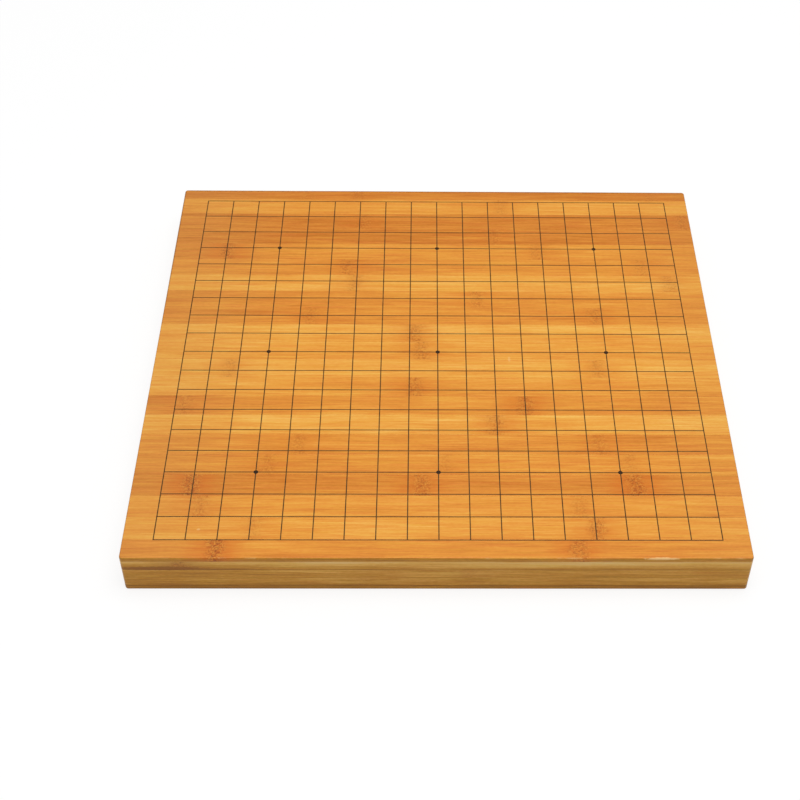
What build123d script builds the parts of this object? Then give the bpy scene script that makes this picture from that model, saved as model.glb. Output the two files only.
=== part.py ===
"""A go board in laminated bamboo, made as one thick slab.

The slab is five plies of flat bamboo strips, all with their grain along X:

    face ply    thin strips, edge to edge, engraved and inked with the playing grid
    core plies  three thicker plies, with their joints staggered
    back ply    thin strips, which the board rests on

A film of glue joins each ply to the next. Nothing on the board moves.

Frame: the origin is the centre of the underside, X runs along the strips, Y points from
the near player to the far one, and Z is up.
"""

import os

from build123d import *

# --- Driving dimensions, in millimetres -----------------------------------------------------

# The slab
BOARD_LENGTH = 470.0  # along X, with the grain
BOARD_DEPTH = 440.0  # along Y, across the strips
CORNER_RADIUS = 2.5  # the four upright corners
EDGE_RADIUS = 1.2  # the sanded arris round the top and the underside

# The plies, from the top down
FACE_PLY = 4.0
CORE_PLY = 9.5
CORE_NAMES = ("upper_core_ply", "middle_core_ply", "lower_core_ply")
BACK_PLY = 4.0
GLUE_FILM = 0.2  # one film between each two plies

# The bamboo strips
STRIP_WIDTH = 21.5  # planed width of a whole strip
FIRST_STRIP = 13.5  # what is left of the face ply's strip at the far edge
JOINT_STAGGER = 7.0  # how far each ply's joints step sideways from those above it
NARROWEST_STRIP = 4.0  # a narrower offcut stays on its neighbour

# The playing grid, which the slab's own margins hold
LINES = 19  # lines each way
LEFT_MARGIN = 23.3
RIGHT_MARGIN = 21.0
FAR_MARGIN = 16.5
NEAR_MARGIN = 17.5
LINE_WIDTH = 0.85
ENGRAVING_DEPTH = 0.3
STAR_DIAMETER = 3.8
STAR_LINE = 4  # the outer star points lie this many lines in from each side

# --- What follows from them -----------------------------------------------------------------

THICKNESS = FACE_PLY + BACK_PLY + len(CORE_NAMES) * CORE_PLY + (len(CORE_NAMES) + 1) * GLUE_FILM
GRID_LENGTH = BOARD_LENGTH - LEFT_MARGIN - RIGHT_MARGIN
GRID_DEPTH = BOARD_DEPTH - FAR_MARGIN - NEAR_MARGIN
GRID_CENTRE_X = (LEFT_MARGIN - RIGHT_MARGIN) / 2
GRID_CENTRE_Y = (NEAR_MARGIN - FAR_MARGIN) / 2
LINE_PITCH_X = GRID_LENGTH / (LINES - 1)
LINE_PITCH_Y = GRID_DEPTH / (LINES - 1)
STAR_STEP = (LINES + 1) // 2 - STAR_LINE  # lines from the middle star point to the next


def export(shape, name):
    """Labels a finished piece and writes it as its own node."""
    shape.label = name
    export_step(shape, f"parts/{name}.step")


# --- The outline that every ply is sanded to ------------------------------------------------

with BuildPart() as blank:
    with BuildSketch():
        RectangleRounded(BOARD_LENGTH, BOARD_DEPTH, CORNER_RADIUS)
    extrude(amount=THICKNESS)
    underside = blank.faces().sort_by(Axis.Z)[0]
    top = blank.faces().sort_by(Axis.Z)[-1]
    fillet(underside.edges() + top.edges(), radius=EDGE_RADIUS)

# --- The playing grid -----------------------------------------------------------------------


def mark_lines(far=BOARD_DEPTH / 2, near=-BOARD_DEPTH / 2):
    """A sketch of all lines along Y, and the lines along X that reach between two Y places."""
    every_row = [
        GRID_CENTRE_Y + LINE_PITCH_Y * (row - (LINES - 1) / 2) for row in range(LINES)
    ]
    rows = [place for place in every_row if near < place + LINE_WIDTH and place - LINE_WIDTH < far]
    with BuildSketch(Plane.XY.offset(THICKNESS)) as marks:
        with Locations((GRID_CENTRE_X, GRID_CENTRE_Y)):
            with GridLocations(LINE_PITCH_X, GRID_DEPTH, LINES, 1):
                Rectangle(LINE_WIDTH, GRID_DEPTH + LINE_WIDTH)
        if rows:
            with Locations(*[(GRID_CENTRE_X, place) for place in rows]):
                Rectangle(GRID_LENGTH + LINE_WIDTH, LINE_WIDTH)
    return marks.sketch


with BuildPart() as star_points:
    with BuildSketch(Plane.XY.offset(THICKNESS)):
        with Locations((GRID_CENTRE_X, GRID_CENTRE_Y)):
            with GridLocations(STAR_STEP * LINE_PITCH_X, STAR_STEP * LINE_PITCH_Y, 3, 3):
                Circle(STAR_DIAMETER / 2)
    extrude(amount=-ENGRAVING_DEPTH)

with BuildPart() as grid_lines:
    extrude(mark_lines(), amount=-ENGRAVING_DEPTH)
    add(star_points.part, mode=Mode.SUBTRACT)


# --- The plies ------------------------------------------------------------------------------


def joints(ply_number):
    """The Y places of a ply's joints and outer edges, from the far edge to the near one."""
    first = (FIRST_STRIP + ply_number * JOINT_STAGGER) % STRIP_WIDTH
    if first < NARROWEST_STRIP:
        first += STRIP_WIDTH
    cuts = [0.0]
    while first < BOARD_DEPTH - NARROWEST_STRIP:
        cuts.append(first)
        first += STRIP_WIDTH
    cuts.append(BOARD_DEPTH)
    return [BOARD_DEPTH / 2 - cut for cut in cuts]


def make_layer(low, height, far=BOARD_DEPTH / 2, near=-BOARD_DEPTH / 2, engraved=False):
    """One strip or glue film: the blank between z = low and low + height and two Y places."""
    with BuildPart() as layer:
        with BuildSketch(Plane.XY.offset(low)):
            with Locations((0, (far + near) / 2)):
                Rectangle(BOARD_LENGTH, far - near)
        extrude(amount=height)
        add(blank.part, mode=Mode.INTERSECT)
        if engraved:
            extrude(mark_lines(far, near), amount=-ENGRAVING_DEPTH, mode=Mode.SUBTRACT)
            add(star_points.part, mode=Mode.SUBTRACT)
    return layer.part


def make_strips(ply_number, low, height, engraved=False):
    """The strips of one ply, from the far edge to the near one."""
    places = joints(ply_number)
    return [
        make_layer(low, height, far, near, engraved)
        for far, near in zip(places, places[1:])
    ]


os.makedirs("parts", exist_ok=True)
export(grid_lines.part, "grid_lines")
export(star_points.part, "star_points")

ply_bottom = THICKNESS - FACE_PLY
for number, strip in enumerate(make_strips(0, ply_bottom, FACE_PLY, engraved=True), 1):
    export(strip, f"face_strip_{number:02d}")

for number, name in enumerate(CORE_NAMES, 1):
    export(make_layer(ply_bottom - GLUE_FILM, GLUE_FILM), f"glue_film_{number}")
    ply_bottom -= GLUE_FILM + CORE_PLY
    export(Compound(children=make_strips(number, ply_bottom, CORE_PLY)), name)

export(make_layer(BACK_PLY, GLUE_FILM), f"glue_film_{len(CORE_NAMES) + 1}")
for number, strip in enumerate(make_strips(len(CORE_NAMES) + 1, 0, BACK_PLY), 1):
    export(strip, f"back_strip_{number:02d}")

print(f"board {BOARD_LENGTH} x {BOARD_DEPTH} x {THICKNESS:.2f} mm")
print(f"line pitch {LINE_PITCH_X:.2f} x {LINE_PITCH_Y:.2f} mm")
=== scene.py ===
# %% [markdown]
# # A go board in laminated bamboo
#
# A go board of this kind is a slab of flat bamboo strips, glued side by side in five plies,
# sanded to one block and varnished. Its top carries a grid of nineteen lines each way.
# The shapes are all nearly flat, so the looks live in the bamboo: each strip has its own
# tone, its own streaks and its own knuckles, the dark rings where the stalk had a joint.
# The construction is loaded first, and every new piece takes its place from it.

# %% Load the construction
import math

import bpy
import numpy as np
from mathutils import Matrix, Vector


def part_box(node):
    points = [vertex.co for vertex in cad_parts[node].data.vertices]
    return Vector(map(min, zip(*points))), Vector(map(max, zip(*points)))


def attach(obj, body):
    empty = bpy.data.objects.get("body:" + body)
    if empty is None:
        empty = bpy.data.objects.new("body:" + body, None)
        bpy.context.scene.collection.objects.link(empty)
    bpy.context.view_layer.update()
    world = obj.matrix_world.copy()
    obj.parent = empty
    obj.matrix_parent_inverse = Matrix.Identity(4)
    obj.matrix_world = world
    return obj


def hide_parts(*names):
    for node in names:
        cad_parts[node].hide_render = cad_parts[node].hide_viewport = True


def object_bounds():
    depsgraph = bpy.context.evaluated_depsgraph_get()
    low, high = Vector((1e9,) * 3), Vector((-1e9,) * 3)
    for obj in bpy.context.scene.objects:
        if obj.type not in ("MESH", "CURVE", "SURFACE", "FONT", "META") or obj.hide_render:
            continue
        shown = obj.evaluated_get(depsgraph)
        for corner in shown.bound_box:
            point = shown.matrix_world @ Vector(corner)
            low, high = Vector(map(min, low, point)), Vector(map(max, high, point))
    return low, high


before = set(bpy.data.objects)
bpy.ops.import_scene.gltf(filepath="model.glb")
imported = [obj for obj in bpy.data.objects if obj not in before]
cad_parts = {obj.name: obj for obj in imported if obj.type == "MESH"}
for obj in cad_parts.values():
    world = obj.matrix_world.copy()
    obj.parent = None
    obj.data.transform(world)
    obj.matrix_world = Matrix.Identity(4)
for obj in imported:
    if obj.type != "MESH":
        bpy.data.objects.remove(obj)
cad_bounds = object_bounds()

MM = 0.001
slab_low, slab_high = (np.array(corner) for corner in cad_bounds)
TOP = slab_high[2]
HALF_SIZE = slab_high[:2]
print("slab", np.round((slab_high - slab_low) / MM, 2), "mm")

# %% [markdown]
# ## The skin of a block
#
# Every strip is a long block, and its skin can be ruled by planes square to the three axes.
# Choosing where the planes go puts points only where the shape bends: a few close together
# at an edge, none along a flat run. A subdivided cube would spread them evenly and waste
# nearly all of them.

# %% Rule a block's skin


def block_skin(xs, ys, zs):
    """A block cut by the planes x in xs, y in ys and z in zs: points, outward faces, sides.

    Point (i, j, k) stands at (xs[i], ys[j], zs[k]). Each side of the block is the grid of
    points whose index along one axis is the first or the last, and each face is given the
    number of its side: 0 and 1 square to X, 2 and 3 to Y, 4 and 5 to Z."""
    index = np.arange(len(xs) * len(ys) * len(zs)).reshape(len(xs), len(ys), len(zs))
    sides = []
    for axis in range(3):
        for end in (0, -1):
            side = np.take(index, end, axis)
            quads = np.stack([side[:-1, :-1], side[:-1, 1:], side[1:, 1:], side[1:, :-1]], -1)
            turned = (end == -1) != (axis == 1)
            sides.append(quads.reshape(-1, 4)[:, :: -1 if turned else 1])
    side_numbers = np.repeat(np.arange(6), [len(side) for side in sides])
    used, quads = np.unique(np.concatenate(sides), return_inverse=True)
    points = np.stack(np.meshgrid(xs, ys, zs, indexing="ij"), -1).reshape(-1, 3)[used]
    return points, quads.reshape(-1, 4), side_numbers


def merged_places(*groups, gap=1e-5):
    """All places in order, without any that is nearer than gap to the one before it."""
    places = np.unique(np.concatenate([np.atleast_1d(group) for group in groups]))
    keep = np.concatenate([[True], np.diff(places) > gap])
    keep[-1] = True
    keep[-2] = places[-1] - places[-2] > gap
    return places[keep]


# %% [markdown]
# ## Sanding the edges
#
# On the bench the slab is sanded after gluing, so one soft arris runs round the whole block
# and crosses every strip. A Bevel modifier would round each strip by itself. Here a point
# near a rim is drawn onto an arc instead: whatever strip it belongs to, it lands on the
# rim of the whole slab.

# %% Round the slab's rim
RIM_RADIUS = 1.2 * MM
CORNER_RADIUS = 2.5 * MM


def sand_slab(points):
    """Draws points onto the slab's rounded outline and rim.

    In plan, a point in a corner square is pulled to the arc about the square's inner corner.
    In height, with A and B as how far the point reaches past the rim's centre line outwards
    and upwards (or downwards), a point with A and B both above 0 is pulled to the arc
    A^2 + B^2 = radius^2."""
    inner = HALF_SIZE - CORNER_RADIUS
    core = np.clip(points[:, :2], -inner, inner)
    reach = points[:, :2] - core
    length = np.linalg.norm(reach, axis=1)
    reach *= np.minimum(1, CORNER_RADIUS / np.maximum(length, 1e-12))[:, None]
    length = np.minimum(length, CORNER_RADIUS)
    outwards = reach / np.maximum(length, 1e-12)[:, None]
    centre = TOP / 2
    a = np.maximum(length - (CORNER_RADIUS - RIM_RADIUS), 0)
    b = np.maximum(np.abs(points[:, 2] - centre) - (centre - RIM_RADIUS), 0)
    shrink = np.minimum(1, RIM_RADIUS / np.maximum(np.hypot(a, b), 1e-12))
    shrink[(a == 0) | (b == 0)] = 1
    plan = core + reach - outwards * (a * (1 - shrink))[:, None]
    height = points[:, 2] - np.sign(points[:, 2] - centre) * b * (1 - shrink)
    return np.column_stack([plan, height])


def rim_places(radius, angles=(0, 15, 30, 45)):
    """How far in from an edge to rule planes, so that an arc of this radius is even."""
    return radius * np.append(1 - np.tan(np.radians(angles)), 1.4)


# %% [markdown]
# ## A wrapper for the strips
#
# A flat map is wanted for each piece, in case its pattern is ever painted onto an image.
# Blender can unwrap a mesh by itself, but a strip is twenty times as long as it is wide, so
# its map would be one thin band in an empty square. Here each side becomes paper sheets
# instead: the long sides are cut into five lengths, a side that is glued to a neighbour is
# drawn at a tenth of the scale, and the sheets are then set out on shelves.

# %% Unroll a strip and set out its sheets
LENGTHS = 5
SHEETS = 6 * LENGTHS  # how many sheet numbers are set aside for one strip
GLUED_SCALE = 0.1
SHEET_GAP = 0.6 * MM
WIDENING = 1.01  # how much wider the square is made each time the sheets don't fit


def unroll(points, quads, sides, low, high):
    """Where each face's corners lie on flat sheets, and the number of each face's sheet.

    A side square to X is read as (y, z), one square to Y as (x, z), one square to Z as (x, y),
    and turned over where it would be seen from within. A side that lies on the slab's own
    outside is drawn in full scale."""
    corners = points[quads]
    across = np.array([(1, 2), (0, 2), (0, 1)])[sides // 2]
    flat = np.take_along_axis(corners, across[:, None, :], 2)
    flat[:, :, 0] *= np.array([-1, 1, 1, -1, -1, 1])[sides][:, None]
    outside = np.stack([np.isclose(low, slab_low), np.isclose(high, slab_high)], 1).ravel()
    flat *= np.where(outside, 1, GLUED_SCALE)[sides][:, None, None]
    share = (corners[:, :, 0].mean(1) - slab_low[0]) / (slab_high[0] - slab_low[0])
    length = np.where(sides < 2, 0, np.floor(share * LENGTHS)).astype(int)
    return flat, sides * LENGTHS + length


def lay_shelves(sizes, width):
    """Sets rectangles side by side on shelves of one width: their corners, and all the height."""
    spots, x, y, shelf = [], 0.0, 0.0, 0.0
    for across, up in sizes:
        if x + across > width:
            x, y, shelf = 0.0, y + shelf, 0.0
        spots.append((x, y))
        x, shelf = x + across, max(shelf, up)
    return np.array(spots), y + shelf


def set_out(flat, sheets):
    """The faces' corners on one square from 0 to 1 that holds every sheet, tallest first."""
    names, sheets = np.unique(sheets, return_inverse=True)
    low, high = np.full((len(names), 2), np.inf), np.full((len(names), 2), -np.inf)
    np.minimum.at(low, sheets, flat.min(1))
    np.maximum.at(high, sheets, flat.max(1))
    sizes = high - low + SHEET_GAP
    order = np.argsort(-sizes[:, 1], kind="stable")
    width, height = max(np.sqrt(sizes.prod(1).sum()), sizes[:, 0].max()), np.inf
    while height > width:
        width *= WIDENING
        spots, height = lay_shelves(sizes[order], width)
    start = np.empty_like(low)
    start[order] = spots
    return (flat + (start - low + SHEET_GAP / 2)[sheets][:, None]) / width


# %% [markdown]
# ## One bamboo strip
#
# A strip is planed square, so its own four long edges are sharp to the touch but never
# perfectly so: a hair of an arris catches the light at each joint. The face strips are also
# engraved, so planes are ruled at both walls of every line and the points between them are
# pushed down. The face stands a whisker below the slab's full height, because the star
# points are blobs of ink that stand proud of it.

# %% Cut a strip
JOINT_ARRIS = 0.07 * MM
GLUE_LINE = 0.02 * MM
ENGRAVING = 0.3 * MM
LINE_WIDTH = 0.85 * MM
WALL_SLOPE = 0.03 * MM
INK_PROUD = 0.03 * MM
PLANES_ALONG, PLANES_ACROSS = 41, 5  # ruled evenly over each strip
SKIN_SHARE = 0.25  # how much of a strip's height its skin side darkens
LINES = 19

grid_low, grid_high = (np.array(corner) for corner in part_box("grid_lines"))
line_x = np.linspace(grid_low[0] + LINE_WIDTH / 2, grid_high[0] - LINE_WIDTH / 2, LINES)
line_y = np.linspace(grid_low[1] + LINE_WIDTH / 2, grid_high[1] - LINE_WIDTH / 2, LINES)
pitch = np.array([line_x[1] - line_x[0], line_y[1] - line_y[0]])
print("line pitch", np.round(pitch / MM, 2), "mm")


def line_walls(centres):
    """Places of both walls of each engraved line, at the face and at the floor."""
    offsets = LINE_WIDTH / 2 - np.array([0, WALL_SLOPE])
    return np.concatenate([centres[:, None] - offsets, centres[:, None] + offsets], 1).ravel()


def soften_edges(points, low, high):
    """Pulls a strip's four long edges in by an arc, as sand_slab does for the slab's rim."""
    centre, half = (low + high) / 2, (high - low) / 2
    offset = points[:, 1:] - centre[1:]
    past = np.maximum(np.abs(offset) - (half[1:] - JOINT_ARRIS), 0)
    shrink = np.minimum(1, JOINT_ARRIS / np.maximum(np.linalg.norm(past, axis=1), 1e-12))
    shrink[(past == 0).any(1)] = 1
    points[:, 1:] -= np.sign(offset) * past * (1 - shrink)[:, None]
    return points


def engrave(points):
    """Lowers the top by a whisker, and inside the lines by the engraving's depth.

    The push fades out downwards over four times that depth."""
    half = LINE_WIDTH / 2 - WALL_SLOPE / 2
    inside = (points[:, :2] > grid_low[:2]) & (points[:, :2] < grid_high[:2])
    on_line = [np.abs(points[:, axis, None] - centres).min(1) < half
               for axis, centres in enumerate((line_x, line_y))]
    cut = (on_line[0] | on_line[1]) & inside.all(1)
    below = np.clip((TOP - points[:, 2]) / (4 * ENGRAVING), 0, 1)
    points[:, 2] -= (INK_PROUD + (ENGRAVING - INK_PROUD) * cut) * (1 - below)
    return points


def cut_strip(low, high, engraved=False):
    """A strip between two corners, sanded with the slab: its points, faces and wrapper.

    Half a glue line is left free on each side that has a neighbour, so that no two strips
    share an edge."""
    room = np.abs([low[1], high[1]]) < HALF_SIZE[1] - CORNER_RADIUS
    low = low + [0, room[0] * GLUE_LINE / 2, 0]
    high = high - [0, room[1] * GLUE_LINE / 2, 0]
    ends = np.concatenate([rim_places(RIM_RADIUS), rim_places(CORNER_RADIUS)])
    joint = np.array([0, JOINT_ARRIS, 3 * JOINT_ARRIS])
    columns = [low[0] + ends, high[0] - ends, np.linspace(low[0], high[0], PLANES_ALONG)]
    rows = [low[1] + joint, high[1] - joint, np.linspace(low[1], high[1], PLANES_ACROSS)]
    levels = [low[2] + joint, high[2] - joint, low[2] + SKIN_SHARE * (high[2] - low[2])]
    for outer, side in ((low[1], 1), (high[1], -1)):
        if abs(outer) > HALF_SIZE[1] - CORNER_RADIUS:
            rows.append(outer + side * ends)
    if high[2] > TOP - RIM_RADIUS:
        levels.append(TOP - rim_places(RIM_RADIUS))
    if low[2] < RIM_RADIUS:
        levels.append(rim_places(RIM_RADIUS))
    if engraved:
        columns.append(line_walls(line_x))
        walls = line_walls(line_y)
        rows.append(walls[(walls > low[1]) & (walls < high[1])])
    points, quads, sides = block_skin(*(merged_places(*group) for group in (columns, rows, levels)))
    wrapper = unroll(points, quads, sides, low, high)
    points = soften_edges(points, low, high)
    if engraved:
        points = engrave(points)
    return sand_slab(points), quads, wrapper


# %% [markdown]
# ## What each strip is like
#
# Heat treatment turns bamboo from straw to toffee, and no two stalks take it the same. Each
# strip gets a tone by name, a darker left or right end where it has one, a slope where one
# long edge is darker than the other, and the places of its knuckles. They are written on
# the mesh as attributes, so that one material serves every strip and still tells them apart.

# %% Describe the face strips
TOFFEE, CARAMEL, AMBER, HONEY, STRAW, WHEAT, PALE = 0.43, 0.5, 0.57, 0.6, 0.64, 0.68, 0.74


def strip_look(tone, *knuckles, left=0.0, right=0.0, slope=0.0, grade=0.0, skin=0.0):
    """A strip's tone; its knuckles as (mm from the left end, strength); how its left and right
    ends differ; the change of tone from its far edge to its near one, and from its bottom to
    its top; and how much darker its lowest part is, where the bamboo's skin was."""
    return {"tone": tone, "knuckles": knuckles, "left": left, "right": right,
            "slope": slope, "grade": grade, "skin": skin}


FACE_LOOKS = [
    strip_look(TOFFEE, (116, 0.2), (161, 0.4), (437, 0.3), right=-0.08, slope=0.08),
    strip_look(WHEAT, (295, 0.4), left=-0.04),
    strip_look(TOFFEE, (169, 0.5), (463, 0.5)),
    strip_look(TOFFEE, (287, 0.4), slope=-0.03),
    strip_look(HONEY, (48, 0.9), (326, 0.4), left=-0.13, slope=-0.03),
    strip_look(AMBER, (156, 0.6), (418, 0.4)),
    strip_look(PALE, (163, 0.5), (442, 0.5), left=-0.03),
    strip_look(HONEY, (270, 0.5), left=-0.13, slope=-0.05),
    strip_look(AMBER, (127, 0.5), (373, 0.6), left=-0.07),
    strip_look(PALE, (217, 0.8), slope=-0.09),
    strip_look(WHEAT, (222, 0.7), right=-0.07, slope=-0.03),
    strip_look(PALE, (64, 0.5), (369, 0.5), slope=-0.02),
    strip_look(STRAW, (217, 0.7), left=0.08, slope=-0.05),
    strip_look(HONEY, (30, 0.5), (307, 0.9), left=-0.1, slope=0.07),
    strip_look(PALE, (283, 0.8), slope=-0.1),
    strip_look(AMBER, (125, 0.5), (364, 0.5), right=-0.06),
    strip_look(HONEY, (103, 0.4), (386, 0.4), (241, 0.3), left=-0.1, slope=-0.04),
    strip_look(CARAMEL, (45, 1.4), (222, 0.9), (389, 1.25), left=-0.06),
    strip_look(STRAW, (55, 0.6), (344, 0.4), slope=-0.05),
    strip_look(WHEAT, (97, 0.4), (355, 0.9), slope=-0.06),
    strip_look(AMBER, (70, 1.5), (340, 0.9), left=-0.06),
]
rng = np.random.default_rng(361)


def chance_look():
    """A strip that nobody picks out: any tone but the darkest, with one or two knuckles."""
    first = rng.uniform(20, 250)
    places = (first, first + rng.uniform(170, 260))
    knuckles = [(place, rng.uniform(0.4, 1)) for place in places if place < 460]
    return strip_look(rng.uniform(CARAMEL, PALE), *knuckles, left=rng.uniform(-0.1, 0.05))


# %% Write a strip's look on its points
END_FADE = 170 * MM
FAR_AWAY = 9999.0  # where a knuckle that a strip hasn't got is put, in mm


def look_attributes(points, look, low, high, seed):
    """Values at each point: tone, seed, depth in the ply, and distances to three knuckles."""
    from_left, from_right = points[:, 0] - slab_low[0], slab_high[0] - points[:, 0]
    tone = look["tone"] + look["left"] * np.clip(1 - from_left / END_FADE, 0, 1)
    tone += look["right"] * np.clip(1 - from_right / END_FADE, 0, 1)
    share = (points - low) / (high - low)
    tone += look["slope"] * (0.5 - share[:, 1]) + look["grade"] * (share[:, 2] - 0.5)
    tone -= look["skin"] * np.clip(1 - share[:, 2] / SKIN_SHARE, 0, 1)
    knuckles = (tuple(look["knuckles"]) + ((FAR_AWAY, 0.0),) * 3)[:3]
    places, strengths = np.array(knuckles).T
    ones = np.ones(len(points))
    return {
        "tone": tone,
        "seed": seed * ones,
        "depth": share[:, 2],
        "knuckles": from_left[:, None] / MM - places,
        "strengths": ones[:, None] * strengths,
    }


# %% [markdown]
# ## From arrays to pieces
#
# A piece is made once all its arrays are ready. Its points keep their real places and its
# object stays at the origin, so Object coordinates in a material are places on the board.

# %% Make a piece
SMOOTH_ANGLE = math.radians(40)


def make_piece(name, points, faces, material, slot, *nodes, values=None, wrapper=None):
    """A mesh object that rides on the board in place of CAD nodes, with a map and attributes
    where they are given."""
    mesh = bpy.data.meshes.new(name)
    mesh.from_pydata(points.tolist(), [], faces)
    if wrapper:
        flat_map = mesh.uv_layers.new(name="OFBake")
        flat_map.data.foreach_set("uv", set_out(*wrapper).astype(np.float32).ravel())
    for key, value in (values or {}).items():
        vector = value.ndim == 2
        layer = mesh.attributes.new(key, "FLOAT_VECTOR" if vector else "FLOAT", "POINT")
        layer.data.foreach_set("vector" if vector else "value", value.astype(np.float32).ravel())
    mesh.shade_smooth()
    mesh.set_sharp_from_angle(angle=SMOOTH_ANGLE)
    mesh.materials.append(material)
    piece = bpy.data.objects.new(name, mesh)
    bpy.context.scene.collection.objects.link(piece)
    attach(piece, "root")
    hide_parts(*nodes)


def join_strips(strips, looks):
    """Several strips and their looks as one piece, with the later strips' numbers moved up."""
    counts = np.cumsum([0] + [len(points) for points, _, _ in strips])
    points = np.concatenate([points for points, _, _ in strips])
    quads = np.concatenate([quads + start for (_, quads, _), start in zip(strips, counts)])
    flat = np.concatenate([wrapper[0] for _, _, wrapper in strips])
    sheets = np.concatenate([
        wrapper[1] + number * SHEETS for number, (_, _, wrapper) in enumerate(strips)])
    values = {key: np.concatenate([look[key] for look in looks]) for key in looks[0]}
    return points, quads, values, (flat, sheets)


# %% [markdown]
# ## Short ways to place nodes
#
# A material is a graph of small sums. Building it in code is long-winded unless each kind
# of node has a one-line way to be placed and linked, so those come first.

# %% Place nodes


def place(tree, kind, sockets=None, **options):
    """Adds a node, sets its options, and sets or links its inputs by name or number."""
    node = tree.nodes.new(kind)
    for key, value in options.items():
        setattr(node, key, value)
    for key, value in (sockets or {}).items():
        if isinstance(value, bpy.types.NodeSocket):
            tree.links.new(value, node.inputs[key])
        else:
            node.inputs[key].default_value = value
    return node


def maths(tree, operation, *values):
    """The result of one Math node."""
    sockets = dict(enumerate(values))
    return place(tree, "ShaderNodeMath", sockets, operation=operation).outputs[0]


def vector_maths(tree, operation, *values):
    """The result of one Vector Math node: a number for LENGTH and DOT_PRODUCT."""
    node = place(tree, "ShaderNodeVectorMath", dict(enumerate(values)), operation=operation)
    return node.outputs["Value" if operation in ("LENGTH", "DOT_PRODUCT") else "Vector"]


def along(tree, x=0.0, y=0.0, z=0.0):
    """A vector from three numbers or sockets."""
    return place(tree, "ShaderNodeCombineXYZ", {0: x, 1: y, 2: z}).outputs[0]


def noise(tree, position, stretch, detail=2.0, distortion=0.0):
    """Noise with a mean of a half, whose features are about stretch = (x, y, z) mm in size."""
    scaled = vector_maths(tree, "DIVIDE", position, stretch)
    sockets = {"Vector": scaled, "Scale": 1.0, "Detail": detail, "Distortion": distortion}
    return place(tree, "ShaderNodeTexNoise", sockets).outputs["Fac"]


def fade(tree, value, start, stop):
    """0 where value is at start, 1 at stop, smooth between. Stop may be the smaller one."""
    node = place(tree, "ShaderNodeMapRange", {"Value": value, 1: start, 2: stop})
    node.interpolation_type = "SMOOTHSTEP"
    return node.outputs[0]


def mix_colours(tree, factor, first, second):
    """One Mix node on colours."""
    node = place(tree, "ShaderNodeMix", {0: factor, 6: first, 7: second}, data_type="RGBA")
    return node.outputs[2]


def colour(red, green, blue):
    """A colour written as 0 to 255 on the screen, as the linear values that nodes take."""
    screen = np.array([red, green, blue]) / 255
    linear = np.where(screen <= 0.04045, screen / 12.92, ((screen + 0.055) / 1.055) ** 2.4)
    return (*linear.tolist(), 1.0)


def colour_ramp(tree, value, palette):
    """A ramp through a palette of (place, colour)."""
    ramp = place(tree, "ShaderNodeValToRGB", {"Fac": value})
    while len(ramp.color_ramp.elements) < len(palette):
        ramp.color_ramp.elements.new(0.5)
    for element, (where, shade) in zip(ramp.color_ramp.elements, palette):
        element.position, element.color = where, shade
    return ramp.outputs["Color"]


def attribute(tree, name, output="Fac"):
    """A value that was written on the mesh."""
    return place(tree, "ShaderNodeAttribute", attribute_name=name).outputs[output]


# %% Make and use node groups


def new_group(name, inputs, outputs):
    """An empty node group with these sockets: (tree, its inputs, its outputs)."""
    tree = bpy.data.node_groups.new(name, "ShaderNodeTree")
    for kinds, direction in ((inputs, "INPUT"), (outputs, "OUTPUT")):
        for socket, kind in kinds.items():
            tree.interface.new_socket(socket, in_out=direction, socket_type=f"NodeSocket{kind}")
    source, result = tree.nodes.new("NodeGroupInput"), tree.nodes.new("NodeGroupOutput")
    return tree, source.outputs, result.inputs


def put_out(tree, result, **values):
    """Links values to a group's outputs."""
    for name, value in values.items():
        tree.links.new(value, result[name])


def use_group(tree, group, **sockets):
    """The outputs of a group node placed in a tree, with its inputs set or linked."""
    node = place(tree, "ShaderNodeGroup", node_tree=group)
    for name, value in sockets.items():
        if isinstance(value, bpy.types.NodeSocket):
            tree.links.new(value, node.inputs[name])
        else:
            node.inputs[name].default_value = value
    return node.outputs


def new_material(name):
    """A new material, its node tree and its Principled shader."""
    material = bpy.data.materials.new(name)
    material.use_nodes = True
    return material, material.node_tree, material.node_tree.nodes["Principled BSDF"]


# %% [markdown]
# ### Where on the board, and where on the strip
#
# Patterns are read in millimetres. Place is the point on the board. Position is the same
# point, slid by the strip's seed to a fresh part of the pattern, so that streaks stop at a
# joint as they do between two real strips.

# %% Group: position
position_group, _, result = new_group("position", {}, {"Place": "Vector", "Position": "Vector"})
own_place = place(position_group, "ShaderNodeTexCoord").outputs["Object"]
in_mm = vector_maths(position_group, "DIVIDE", own_place, (MM, MM, MM))
seed = attribute(position_group, "seed")
slide = vector_maths(position_group, "MULTIPLY", along(position_group, seed, seed, seed),
                     (731.0, 57.0, 23.0))
put_out(position_group, result, Place=in_mm,
        Position=vector_maths(position_group, "ADD", in_mm, slide))

# %% [markdown]
# ### Knuckles
#
# At a knuckle the fibres cross over each other. The wood about it reddens in a soft cloud,
# the heart of it is browner, and there the crossing fibres show as short squiggles, some
# dark and some light. Thin squiggles come from noise by asking where it is close to one
# value: that is a contour line, and contour lines wriggle. A wobble on the distance keeps
# the band from being ruled.

# %% Group: knuckles
knuckle_group, source, result = new_group(
    "knuckles",
    {"Position": "Vector"},
    {"Cloud": "Float", "Heart": "Float", "Dark": "Float", "Light": "Float", "Swerve": "Float"},
)


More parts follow.
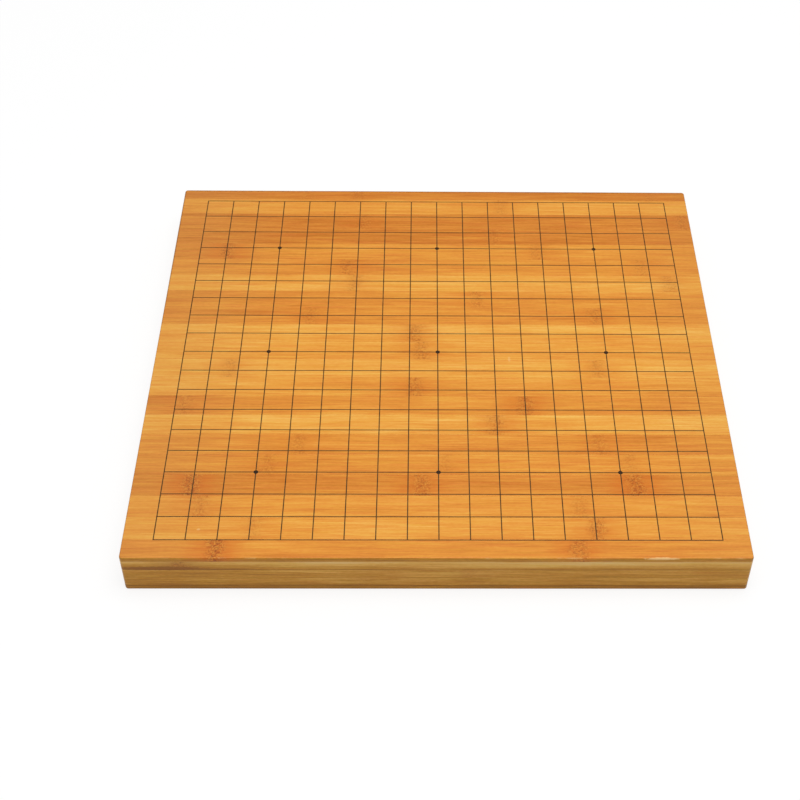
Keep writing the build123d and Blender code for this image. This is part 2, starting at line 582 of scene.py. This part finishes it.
def build_knuckles(tree, position, result):
    """Cloud: the reddening, and Heart: its browner middle. Dark and Light: the squiggles. The
    light ones go by the square root of the strength, so that a weak knuckle shows them too.
    Swerve: how many mm the fibres move in Y."""
    wobble = maths(tree, "MULTIPLY_ADD", noise(tree, position, (12, 7, 7)), 12.0, -6.0)
    fray = maths(tree, "MULTIPLY_ADD", noise(tree, position, (4, 1.2, 1.2)), 7.0, -3.5)
    shift = maths(tree, "ADD", wobble, fray)
    distances = vector_maths(tree, "ADD", attribute(tree, "knuckles", "Vector"),
                             along(tree, shift, shift, shift))
    away = vector_maths(tree, "ABSOLUTE", distances)
    strengths = attribute(tree, "strengths", "Vector")

    def within(near, far, weights):
        """The sum over the knuckles of weight times a mask: 1 nearer than near, 0 past far."""
        node = place(tree, "ShaderNodeMapRange", {"Vector": away}, data_type="FLOAT_VECTOR")
        node.interpolation_type = "SMOOTHSTEP"
        for socket, value in ((7, far), (8, near), (9, 0.0), (10, 1.0)):
            node.inputs[socket].default_value = (value,) * 3
        return vector_maths(tree, "DOT_PRODUCT", node.outputs["Vector"], weights)

    patchy = maths(tree, "MULTIPLY_ADD", noise(tree, position, (24, 4, 4)), 1.6, 0.25)
    cloud = maths(tree, "MULTIPLY", within(0.0, 32.0, strengths), patchy)
    heart = maths(tree, "MULTIPLY", within(1.0, 11.0, strengths), patchy)
    band, core = within(3.0, 9.0, strengths), within(1.0, 4.5, strengths)
    squiggle = noise(tree, position, (2.8, 1.6, 1.6), distortion=0.8)
    contour = maths(tree, "ABSOLUTE", maths(tree, "SUBTRACT", squiggle, 0.45))
    light = maths(tree, "MULTIPLY", fade(tree, contour, 0.06, 0.0), maths(tree, "SQRT", band))
    blots = noise(tree, position, (1.6, 2.2, 2.2), distortion=0.6)
    dark = maths(tree, "MULTIPLY", fade(tree, blots, 0.44, 0.66),
                 maths(tree, "MULTIPLY_ADD", core, 0.7, band))
    sway = maths(tree, "MULTIPLY_ADD", noise(tree, position, (14, 8, 8)), 7.0, -3.5)
    put_out(tree, result, Cloud=cloud, Heart=heart, Dark=dark, Light=light,
            Swerve=maths(tree, "MULTIPLY", heart, sway))


build_knuckles(knuckle_group, source["Position"], result)

# %% [markdown]
# ### Fibres
#
# Bamboo has no growth rings. It is a bundle of long fibres, so on any cut along the stalk
# it shows streaks, and on a sawn end it shows dots. One solid pattern, stretched along X,
# gives both, because a surface is just where the solid is cut. Several sizes are laid over
# each other: slow drifts of tone, streaks a couple of millimetres wide, long single fibres,
# short flecks, and the dark bundles that carried the sap. The blush is one more set of
# streaks, which are redder or yellower but no darker. A slow sway keeps them all from being
# ruler straight.

# %% Group: fibres
BLUSH_SHIFT = (400.0, 90.0, 40.0)  # in mm, to a fresh part of the pattern
fibre_group, source, result = new_group(
    "fibres",
    {"Position": "Vector", "Swerve": "Float"},
    {"Drift": "Float", "Streaks": "Float", "Threads": "Float", "Flecks": "Float",
     "Blush": "Float", "Bundles": "Float"},
)


def build_fibres(tree, position, swerve, result):
    """Each lies about 0, from -0.5 to 0.5, but Bundles, which is a mask."""
    sway = maths(tree, "MULTIPLY_ADD", noise(tree, position, (90, 16, 16)), 3.0, swerve)
    bent = vector_maths(tree, "ADD", position, along(tree, 0.0, sway, sway))
    elsewhere = vector_maths(tree, "ADD", bent, BLUSH_SHIFT)
    layers = {
        "Drift": (bent, (110, 7, 7)),
        "Streaks": (bent, (48, 1.4, 1.4)),
        "Threads": (bent, (26, 0.55, 0.55)),
        "Flecks": (bent, (3.5, 0.8, 0.8)),
        "Blush": (elsewhere, (48, 1.2, 1.2)),
    }
    for name, (where, size) in layers.items():
        put_out(tree, result, **{name: maths(tree, "SUBTRACT", noise(tree, where, size), 0.5)})
    cells = vector_maths(tree, "DIVIDE", bent, (34, 1.1, 1.1))
    dots = place(tree, "ShaderNodeTexVoronoi", {"Vector": cells, "Scale": 1.0})
    put_out(tree, result, Bundles=fade(tree, dots.outputs["Distance"], 0.34, 0.14))


build_fibres(fibre_group, source["Position"], source["Swerve"], result)

# %% [markdown]
# ### The slab's rim and ends
#
# The rim is where hands and tables rub, so the varnish there is thin in patches and the
# bare bamboo shows pale. On the two sawn ends the fibres are seen end on. The flat faces are
# duller near those ends, most of all at the left.

# %% Group: rim and ends
rim_group, source, result = new_group(
    "rim and ends", {"Place": "Vector"}, {"Wear": "Float", "Ends": "Float", "Dull": "Float"})
HALF_MM = slab_high / MM / (1, 1, 2)
DULL_LEFT, DULL_RIGHT = (-110.0, -235.0), (150.0, 235.0)  # from none to full, in mm along X


def build_rim(tree, spot, result):
    """Wear: patches on the rim's arc. Ends: 1 on the faces that cut across the fibres.
    Dull: on the flat faces, up to 1 towards the left end and to a half towards the right."""
    middle = (0.0, 0.0, float(HALF_MM[2]))
    from_middle = vector_maths(tree, "ABSOLUTE", vector_maths(tree, "SUBTRACT", spot, middle))
    past = vector_maths(tree, "SUBTRACT", from_middle, tuple(HALF_MM - RIM_RADIUS / MM))
    split = place(tree, "ShaderNodeSeparateXYZ", {0: past}).outputs
    on_arc = maths(tree, "MINIMUM", maths(tree, "MAXIMUM", split[0], split[1]), split[2])
    patches = fade(tree, noise(tree, spot, (16, 16, 5), detail=4.0), 0.57, 0.72)
    across = place(tree, "ShaderNodeSeparateXYZ", {0: spot}).outputs[0]
    near_ends = maths(tree, "MULTIPLY_ADD", fade(tree, across, *DULL_RIGHT), 0.5,
                      fade(tree, across, *DULL_LEFT))
    put_out(tree, result, Dull=maths(tree, "MULTIPLY", near_ends, fade(tree, split[2], 0.2, 1.0)),
            Wear=maths(tree, "MULTIPLY", fade(tree, on_arc, 0.1, 0.6), patches),
            Ends=fade(tree, split[0], 0.6, 1.1))


build_rim(rim_group, source["Place"], result)

# %% [markdown]
# ### Marks
#
# A board in use has a few marks of its own: a chip on the rim, a scratch, a pale speck and a
# smear of sap. The same blot also paints shade along the far rim and the left rim, which turn
# away from the lamp. Each is a ragged blot, so one group makes them all from a centre and a
# size.

# %% Group: mark
mark_group, source, result = new_group(
    "mark", {"Place": "Vector", "Centre": "Vector", "Size": "Vector"}, {"Mask": "Float"})
offset = vector_maths(mark_group, "SUBTRACT", source["Place"], source["Centre"])
scaled = vector_maths(mark_group, "LENGTH", vector_maths(
    mark_group, "DIVIDE", offset, source["Size"]))
ragged = maths(mark_group, "MULTIPLY_ADD", noise(mark_group, source["Place"], (3, 0.8, 0.8)),
               0.9, scaled)
put_out(mark_group, result, Mask=fade(mark_group, ragged, 1.45, 1.05))
print("node groups:", [group.name for group in bpy.data.node_groups])

# %% [markdown]
# ## The bamboo materials
#
# Tone, streaks and fibres add up to one number, which a colour ramp turns into bamboo. The
# knuckles then stain it. The varnish is a thin coat over all of it: it fills the grain, so
# the bump stays faint, and it is satin, so the roughness wanders a little. A ply that is
# seen on its edge is browner than a face, because the sanded edge soaks up more varnish.

# %% Bamboo
FACE_PALETTE = (
    (0.0, colour(158, 82, 10)),
    (0.33, colour(207, 120, 30)),
    (0.47, colour(220, 135, 44)),
    (0.59, colour(231, 148, 50)),
    (0.67, colour(236, 158, 57)),
    (0.78, colour(241, 171, 69)),
    (1.0, colour(250, 198, 98)),
)
EDGE_PALETTE = (
    (0.0, colour(124, 74, 4)),
    (0.3, colour(174, 114, 14)),
    (0.5, colour(205, 141, 36)),
    (0.75, colour(240, 184, 86)),
    (1.0, colour(246, 205, 130)),
)
FACE_CLOUD = colour(216, 106, 8)
EDGE_CLOUD = colour(164, 98, 18)
HEART_COLOUR = colour(172, 82, 0)
DARK_SQUIGGLE = colour(144, 60, 0)
LIGHT_SQUIGGLE = colour(252, 180, 70)
BUNDLE_COLOUR = colour(96, 60, 24)
WORN_COLOUR = colour(244, 196, 124)
DULL_COLOUR = colour(156, 150, 108)


def bamboo(name, all_edge=False, marks_and_shade=()):
    """A varnished bamboo material. all_edge says that no wide face of the ply is ever seen."""
    material, tree, shader = new_material(name)
    spot, position = use_group(tree, position_group)
    cloud, heart, dark, light, swerve = use_group(tree, knuckle_group, Position=position)
    drift, streaks, threads, flecks, blush, bundles = use_group(
        tree, fibre_group, Position=position, Swerve=swerve)
    wear, ends, dull = use_group(tree, rim_group, Place=spot)

    value = attribute(tree, "tone")
    for part, gain in ((drift, 0.42), (streaks, 0.44), (threads, 0.36), (flecks, 0.24),
                       (bundles, -0.06)):
        value = maths(tree, "MULTIPLY_ADD", part, gain, value)
    if all_edge:
        base, cloud_colour = colour_ramp(tree, value, EDGE_PALETTE), EDGE_CLOUD
    else:
        cloud_colour = FACE_CLOUD
        depth = attribute(tree, "depth")
        soaked = maths(tree, "MULTIPLY_ADD", fade(tree, depth, 0.1, 0.4), -0.13, value)
        base = mix_colours(tree, fade(tree, depth, 0.97, 0.88),
                           colour_ramp(tree, value, FACE_PALETTE),
                           colour_ramp(tree, soaked, EDGE_PALETTE))
    base = place(tree, "ShaderNodeHueSaturation", {
        "Hue": maths(tree, "MULTIPLY_ADD", blush, 0.026, 0.5), "Color": base}).outputs[0]
    for mask, gain, stain in ((cloud, 0.42, cloud_colour), (heart, 0.28, HEART_COLOUR),
                              (dark, 0.34, DARK_SQUIGGLE), (light, 0.5, LIGHT_SQUIGGLE),
                              (dull, 0.1, DULL_COLOUR), (wear, 0.5, WORN_COLOUR)):
        base = mix_colours(tree, maths(tree, "MULTIPLY", mask, gain), base, stain)
    # blots of stain, and on the face also two bands of painted shade along the far and left rims
    for centre, size, gain, stain in marks_and_shade:
        mask = use_group(tree, mark_group, Place=spot, Centre=centre, Size=size)[0]
        base = mix_colours(tree, maths(tree, "MULTIPLY", mask, gain), base, stain)
    end_dots = maths(tree, "MULTIPLY", ends, maths(tree, "MULTIPLY_ADD", bundles, 0.7, 0.12))
    base = mix_colours(tree, end_dots, base, BUNDLE_COLOUR)
    tree.links.new(base, shader.inputs["Base Color"])

    rough = maths(tree, "MULTIPLY_ADD", streaks, 0.16, 0.42)
    rough = maths(tree, "MULTIPLY_ADD", wear, 0.2, rough)
    tree.links.new(rough, shader.inputs["Roughness"])
    height = maths(tree, "MULTIPLY_ADD", threads, 0.6, streaks)
    bump = place(tree, "ShaderNodeBump", {"Height": height, "Strength": 0.12, "Distance": 0.1 * MM})
    tree.links.new(bump.outputs["Normal"], shader.inputs["Normal"])
    shader.inputs["Coat Weight"].default_value = 0.08
    shader.inputs["Coat Roughness"].default_value = 0.3
    shader.inputs["Specular IOR Level"].default_value = 0.25
    return material


# %% Mix the three bamboos
PALE_CHIP = colour(246, 200, 132)
RAW_CHIP = colour(205, 140, 62)
SAP = colour(154, 92, 0)
# the colour of the painted shade along the far and left rims
RIM_SHADE = colour(128, 76, 20)
FACE_MARKS_AND_SHADE = (  # centre and size in mm, and how strongly it shows
    ((166.0, -219.6, 36.6), (15.0, 1.5, 1.1), 0.9, PALE_CHIP),
    ((126.0, -220.0, 33.9), (5.0, 1.5, 0.8), 0.9, RAW_CHIP),
    ((-179.0, -192.5, 37.3), (1.6, 1.2, 1.0), 0.5, PALE_CHIP),
    ((61.0, -8.0, 37.3), (1.2, 4.0, 1.0), 0.35, PALE_CHIP),
    # painted shade: darker bands along the far and left rims, standing in for shade where they turn
    # from the lamp
    ((0.0, 220.0, 37.7), (600.0, 2.5, 1.5), 0.6, RIM_SHADE),
    ((-235.0, 160.0, 37.7), (1.7, 180.0, 1.5), 0.5, RIM_SHADE),
)
CORE_MARKS = (((-206.0, -220.0, 25.3), (38.0, 1.5, 2.7), 0.85, SAP),)
face_bamboo = bamboo("face bamboo", marks_and_shade=FACE_MARKS_AND_SHADE)
back_bamboo = bamboo("back bamboo")
core_bamboo = bamboo("core bamboo", all_edge=True, marks_and_shade=CORE_MARKS)

# %% [markdown]
# ## The face ply
#
# The face strips are made one by one, from the far edge to the near one, each between the
# corners that the construction gives it.

# %% Lay the face strips
for number, look in enumerate(FACE_LOOKS, 1):
    node = f"face_strip_{number:02d}"
    low, high = (np.array(corner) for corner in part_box(node))
    points, quads, wrapper = cut_strip(low, high, engraved=True)
    make_piece(node + "_bamboo", points, quads.tolist(), face_bamboo, "face_bamboo", node,
               values=look_attributes(points, look, low, high, seed=number), wrapper=wrapper)
print("face strips:", number, "with", len(points), "points in the last")

# %% [markdown]
# ## The back ply
#
# The back is the face's twin without the engraving. Nobody chooses its strips, so their
# looks are left to chance, apart from the one along the near edge. Its wide face is its
# underside, so its depth is counted the other way. It is hardly ever seen, so its strips
# are joined into two halves, and one map is enough for each half.

# %% Lay the back strips
NEAR_BACK = strip_look(0.46, (300, 0.2), grade=-0.2)
FIRST_BACK_SEED = 41  # past all the seeds of the face strips
back_nodes = sorted(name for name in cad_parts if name.startswith("back_strip"))
half = len(back_nodes) // 2
for name, nodes in (("far_back", back_nodes[:half]), ("near_back", back_nodes[half:])):
    strips, looks = [], []
    for node in nodes:
        low, high = (np.array(corner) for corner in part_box(node))
        strips.append(cut_strip(low, high))
        look = chance_look()
        if node == back_nodes[-1]:
            look = NEAR_BACK
        seed = FIRST_BACK_SEED + back_nodes.index(node)
        looks.append(look_attributes(strips[-1][0], look, low, high, seed=seed))
        looks[-1]["depth"] = 1 - looks[-1]["depth"]
    points, quads, values, wrapper = join_strips(strips, looks)
    make_piece(name + "_bamboo", points, quads.tolist(), back_bamboo, "back_bamboo", *nodes,
               values=values, wrapper=wrapper)
    print(name, len(strips), "strips,", len(quads), "faces")

# %% [markdown]
# ## The core
#
# The three core plies show only as bands round the slab's sides. Each is thick enough for
# the bamboo's skin side to show as a darker line along its lower edge. The strips of a ply
# are separate blocks in one piece, with their joints stepped sideways from ply to ply, as
# bricks are, so that no joint runs down through the slab.

# %% Fill the core
STAGGER = 7.0 * MM
NARROWEST = 4.0 * MM
NEAR_CORE = {
    "upper_core_ply": strip_look(0.69, (44, 0.9), left=-0.18, grade=0.42, skin=0.1),
    "middle_core_ply": strip_look(0.54, (260, 0.3), left=-0.05, grade=0.08),
    "lower_core_ply": strip_look(0.53, (180, 0.2), left=-0.08, grade=0.12, skin=0.22),
}
face_cuts = [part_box(f"face_strip_{number:02d}")[0][1] for number in (1, 2)]
strip_width = face_cuts[0] - face_cuts[1]
for ply, (node, near_look) in enumerate(NEAR_CORE.items(), 1):
    low, high = (np.array(corner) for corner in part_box(node))
    first = (high[1] - face_cuts[0] + ply * STAGGER) % strip_width
    cuts = high[1] - np.arange(first, high[1] - low[1] - NARROWEST, strip_width)
    strips, looks = [], []
    for index, (far, near) in enumerate(zip([high[1], *cuts], [*cuts, low[1]])):
        corners = np.array([low[0], near, low[2]]), np.array([high[0], far, high[2]])
        strips.append(cut_strip(*corners))
        look = chance_look() | {"grade": 0.12, "skin": 0.1}
        if near == low[1]:
            look = near_look
        looks.append(look_attributes(strips[-1][0], look, *corners, seed=100 * ply + index))
    points, quads, values, wrapper = join_strips(strips, looks)
    make_piece(node + "_bamboo", points, quads.tolist(), core_bamboo, "core_bamboo", node,
               values=values, wrapper=wrapper)
    print(node, len(strips), "strips,", len(quads), "faces")

# %% [markdown]
# ## Glue
#
# The films of glue keep the shapes that the construction gives them, since a film has
# nothing to add to. Glue dries to a brown glass, thick in one place and starved in the
# next, so each film's colour wanders along the board between two browns.

# %% Colour the glue films
FILM_COLOURS = (
    (colour(180, 126, 54), colour(205, 152, 78)),
    (colour(104, 62, 16), colour(158, 104, 34)),
    (colour(176, 120, 40), colour(205, 148, 60)),
    (colour(96, 58, 14), colour(130, 84, 24)),
)
for number, (dark_glue, light_glue) in enumerate(FILM_COLOURS, 1):
    material, tree, shader = new_material(f"glue {number}")
    spot = place(tree, "ShaderNodeTexCoord").outputs["Object"]
    spot = vector_maths(tree, "DIVIDE", spot, (MM, MM, MM))
    thick = fade(tree, noise(tree, spot, (30, 30, 30), detail=4.0), 0.35, 0.65)
    tree.links.new(mix_colours(tree, thick, light_glue, dark_glue), shader.inputs["Base Color"])
    rough = maths(tree, "MULTIPLY_ADD", thick, -0.2, 0.6)
    tree.links.new(rough, shader.inputs["Roughness"])
    shader.inputs["Specular IOR Level"].default_value = 0.25
    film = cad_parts[f"glue_film_{number}"]
    for slot in film.material_slots:
        slot.material = material
    print(film.name, len(film.material_slots), "slot")

# %% [markdown]
# ## Ink
#
# The ink fills the engraving almost to the face. It shrinks as it dries, so it stands a
# little higher along the walls than down the middle of a line. The grid is one piece: a
# lattice whose cells are filled where a line runs and left empty elsewhere.

# %% Fill the cells of a lattice


def masked_slab(xs, ys, mask, top, bottom):
    """Points and outward faces of a slab that fills the cells of a grid where mask is true.

    Point (i, j) of the top is at (xs[i], ys[j], top[i, j]), and the bottom's lies below it.
    A wall stands wherever a filled cell meets an empty one."""
    count = len(xs) * len(ys)
    index = np.arange(count).reshape(len(xs), len(ys))
    cells = np.stack([index[:-1, :-1], index[1:, :-1], index[1:, 1:], index[:-1, 1:]], -1)[mask]
    faces = [cells, cells[:, ::-1] + count]
    padded = np.pad(mask, 1)
    x_wall = padded[1:, 1:-1].astype(int) - padded[:-1, 1:-1]
    y_wall = padded[1:-1, 1:].astype(int) - padded[1:-1, :-1]
    for wall, near, far in (
        (x_wall, index[:, :-1], index[:, 1:]),
        (-y_wall, index[:-1, :], index[1:, :]),
    ):
        for sign, (a, b) in ((1, (near, far)), (-1, (far, near))):
            a, b = a[wall == sign], b[wall == sign]
            faces.append(np.stack([a, b, b + count, a + count], -1))
    faces = np.concatenate(faces)
    kept, faces = np.unique(faces, return_inverse=True)
    grid_x, grid_y = np.meshgrid(xs, ys, indexing="ij")
    points = np.column_stack([
        np.tile(grid_x.ravel(), 2), np.tile(grid_y.ravel(), 2),
        np.concatenate([top.ravel(), np.full(count, bottom)]),
    ])
    return points[kept], faces.reshape(-1, 4)


def line_stations(centres):
    """Three places across each line, its walls and its middle, and which are middles."""
    places = centres[:, None] + np.array([-0.5, 0, 0.5]) * LINE_WIDTH
    return places.ravel(), np.tile([False, True, False], len(centres))


# %% Mix the ink


def brown_ink(name, thick_colour, thin_colour):
    """Ink that is blotted thin in places, where it is paler and less glossy."""
    material, tree, shader = new_material(name)
    spot = place(tree, "ShaderNodeTexCoord").outputs["Object"]
    spot = vector_maths(tree, "DIVIDE", spot, (MM, MM, MM))
    thin = fade(tree, noise(tree, spot, (4, 4, 4), detail=4.0), 0.35, 0.7)
    ink_colour = mix_colours(tree, thin, thick_colour, thin_colour)
    tree.links.new(ink_colour, shader.inputs["Base Color"])
    tree.links.new(maths(tree, "MULTIPLY_ADD", thin, 0.2, 0.5), shader.inputs["Roughness"])
    shader.inputs["Specular IOR Level"].default_value = 0.2
    return material


line_ink = brown_ink("line ink", colour(64, 44, 18), colour(100, 72, 34))
dot_ink = brown_ink("dot ink", colour(44, 26, 8), colour(64, 42, 16))

# %% Ink the lines
INK_SHRINK = 0.05 * MM
INK_DISH = 0.05 * MM
xs, x_middle = line_stations(line_x)
ys, y_middle = line_stations(line_y)
in_x_line, in_y_line = (np.arange(len(places) - 1) % 3 != 2 for places in (xs, ys))
mask = in_x_line[:, None] | in_y_line
ink_top = TOP - INK_SHRINK - INK_DISH * (x_middle[:, None] | y_middle)
points, quads = masked_slab(xs, ys, mask, ink_top, TOP - ENGRAVING)
make_piece("ink_lines", points, quads.tolist(), line_ink, "line_ink", "grid_lines")
print("ink lines:", len(quads), "faces")

# %% [markdown]
# ## Star points
#
# A star point is a drop of ink set down over a crossing. It levels out into a thin disc
# with a rounded lip, so it is made as one profile turned about its middle, and its top is
# the highest thing on the board.

# %% Dot the star points
STAR_LINES = [3, 9, 15]
STAR_RADIUS = 1.9 * MM
DOT_PROFILE = np.array(  # share of the radius, height in mm from the slab's top
    [(0.6, 0.0), (0.86, -0.006), (0.96, -0.018), (1.0, -0.04), (1.0, -0.3)])


def turned_dot(profile, radius, turns=40):
    """A profile turned about Z and closed by a point in the middle of its top and bottom.

    Point (i, j) is at share[i] * radius from the middle, turned by j of the equal turns."""
    angle = np.linspace(0, 2 * np.pi, turns, endpoint=False)
    share, height = profile[:, :1], np.repeat(TOP + profile[:, 1:] * MM, turns, 1)
    rings = np.stack([radius * share * np.cos(angle), radius * share * np.sin(angle), height], -1)
    ring = np.arange(height.size).reshape(height.shape)
    after = np.roll(ring, -1, 1)
    sides = np.stack([ring[:-1], ring[1:], after[1:], after[:-1]], -1).reshape(-1, 4)
    poles = np.full((2, turns), height.size) + [[0], [1]]
    caps = np.concatenate([np.column_stack([poles[0], ring[0], after[0]]),
                           np.column_stack([poles[1], after[-1], ring[-1]])])
    middles = [[0, 0, height[0, 0]], [0, 0, height[-1, 0]]]
    return np.concatenate([rings.reshape(-1, 3), middles]), sides, caps


dot, sides, caps = turned_dot(DOT_PROFILE, STAR_RADIUS)
crossings = np.stack(np.meshgrid(line_x[STAR_LINES], line_y[STAR_LINES], [0]), -1).reshape(-1, 1, 3)
first_point = (np.arange(len(crossings)) * len(dot))[:, None, None]
faces = [corners for group in (sides, caps)
         for corners in (group + first_point).reshape(-1, group.shape[1]).tolist()]
make_piece("star_dots", (dot + crossings).reshape(-1, 3), faces, dot_ink, "line_ink",
           "star_points")

# %% [markdown]
# ## The floor
#
# The board is shown on a pale sheet. For the camera the sheet gives off most of its light
# itself, so it comes out white with a faint shadow. For every other ray it is plain paper
# that throws soft light up at the board's sides. Seen from below it is not there.

# %% Lay the floor
FLOOR_SIZE = 12  # in metres
bpy.ops.mesh.primitive_plane_add(size=FLOOR_SIZE)
floor = bpy.context.object
floor.name = "floor"
paper, tree, shader = new_material("paper")
path = place(tree, "ShaderNodeLightPath").outputs
paper_colour = mix_colours(tree, path["Is Camera Ray"], (0.64, 0.64, 0.64, 1), (0.2, 0.2, 0.2, 1))
tree.links.new(paper_colour, shader.inputs["Base Color"])
shader.inputs["Roughness"].default_value = 0.9
shader.inputs["Specular IOR Level"].default_value = 0.0
shader.inputs["Emission Color"].default_value = (1, 1, 1, 1)
glow = maths(tree, "MAXIMUM", maths(tree, "MULTIPLY", path["Is Camera Ray"], 0.82),
             maths(tree, "MULTIPLY", path["Is Glossy Ray"], 0.4))
tree.links.new(glow, shader.inputs["Emission Strength"])
behind = place(tree, "ShaderNodeNewGeometry").outputs["Backfacing"]
clear = place(tree, "ShaderNodeBsdfTransparent").outputs[0]
seen = place(tree, "ShaderNodeMixShader", {0: behind, 1: shader.outputs[0], 2: clear})
tree.links.new(seen.outputs[0], tree.nodes["Material Output"].inputs["Surface"])
floor.data.materials.append(paper)

# %% [markdown]
# ## The light
#
# Plain light shows wood best: an even white room, and one large lamp overhead that gives
# the satin varnish something to catch. Together they light the top so that a colour comes
# out as it is written, and the sides at about two thirds of that.

# %% Light the room
world = bpy.data.worlds.new("soft room")
bpy.context.scene.world = world
world.use_nodes = True
tree = world.node_tree
path = place(tree, "ShaderNodeLightPath").outputs
seen = maths(tree, "MAXIMUM", path["Is Camera Ray"], path["Is Transmission Ray"])
background = tree.nodes["Background"]
background.inputs["Color"].default_value = (1, 1, 1, 1)
tree.links.new(maths(tree, "MULTIPLY_ADD", seen, 0.55, 0.45), background.inputs["Strength"])


def soft_light(name, spot, size, power):
    """A square area light that faces the middle of the board, with its size and place in
    metres and its power in watts."""
    data = bpy.data.lights.new(name, "AREA")
    data.size = size
    data.energy = power
    lamp = bpy.data.objects.new(name, data)
    lamp.location = spot
    lamp.rotation_euler = (-lamp.location).to_track_quat("-Z", "Y").to_euler()
    bpy.context.scene.collection.objects.link(lamp)


soft_light("overhead", (0.2, -0.1, 2.2), size=1.6, power=30)

# %% [markdown]
# ## The camera
#
# The board is seen from a standing player's place, a little to the left of the middle, with
# a lens long enough that its sides hardly splay.

# %% Set up the camera
LENS, SENSOR = 67.64, 36  # in mm
LENS_SHIFT = -0.062  # sideways, as a share of the sensor's width
EYE = np.array([-10.8, -913.8, 911.8]) * MM
TURN = np.radians([44.45, -0.82, -0.592])  # about X, then Y, then Z
camera_data = bpy.data.cameras.new("camera")
camera_data.lens = LENS
camera_data.sensor_width = SENSOR
camera_data.shift_x = LENS_SHIFT
camera = bpy.data.objects.new("camera", camera_data)
camera.location = EYE
camera.rotation_euler = TURN
bpy.context.scene.collection.objects.link(camera)
bpy.context.scene.camera = camera
bpy.context.scene.view_settings.view_transform = "Standard"
